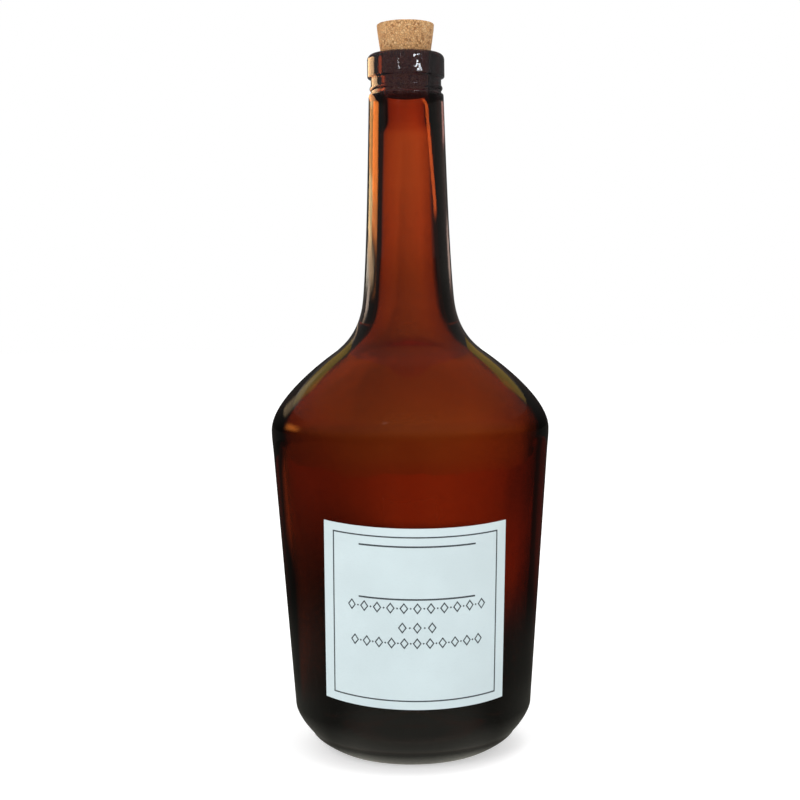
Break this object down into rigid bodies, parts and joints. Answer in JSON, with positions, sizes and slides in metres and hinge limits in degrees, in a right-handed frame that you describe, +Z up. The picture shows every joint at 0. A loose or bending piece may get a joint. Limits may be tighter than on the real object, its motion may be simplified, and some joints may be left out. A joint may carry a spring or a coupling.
{
  "type": "glass bottle",
  "caption": "Long-necked bottle of amber glass with a tapered body, rounded shoulders and a rolled lip, closed by a tapered cork and carrying a bordered paper label.",
  "frame": {"origin": "centre of the foot, on the plane that the bottle stands on", "axes": "+Z up along the bottle's axis, towards the cork; the label faces -Y and +X is to its right as seen from the front"},
  "size_m": [0.108, 0.108, 0.2807],
  "materials": {
    "amber_glass": "dark amber-brown blown glass, glossy, slightly uneven",
    "cork": "pressed granulated cork, matt",
    "label_paper": "pale blue-white coated paper with a thin dark border"
  },
  "bodies": {
    "bottle": {"glass_bottle": "amber_glass", "front_label": "label_paper"},
    "cork": {"cork_stopper": "cork"}
  },
  "joints": [
    {"name": "cork_pull", "type": "slide", "parent": "bottle", "child": "cork", "axis": [0, 0, 1], "range_m": [0, 0.045]}
  ]
}
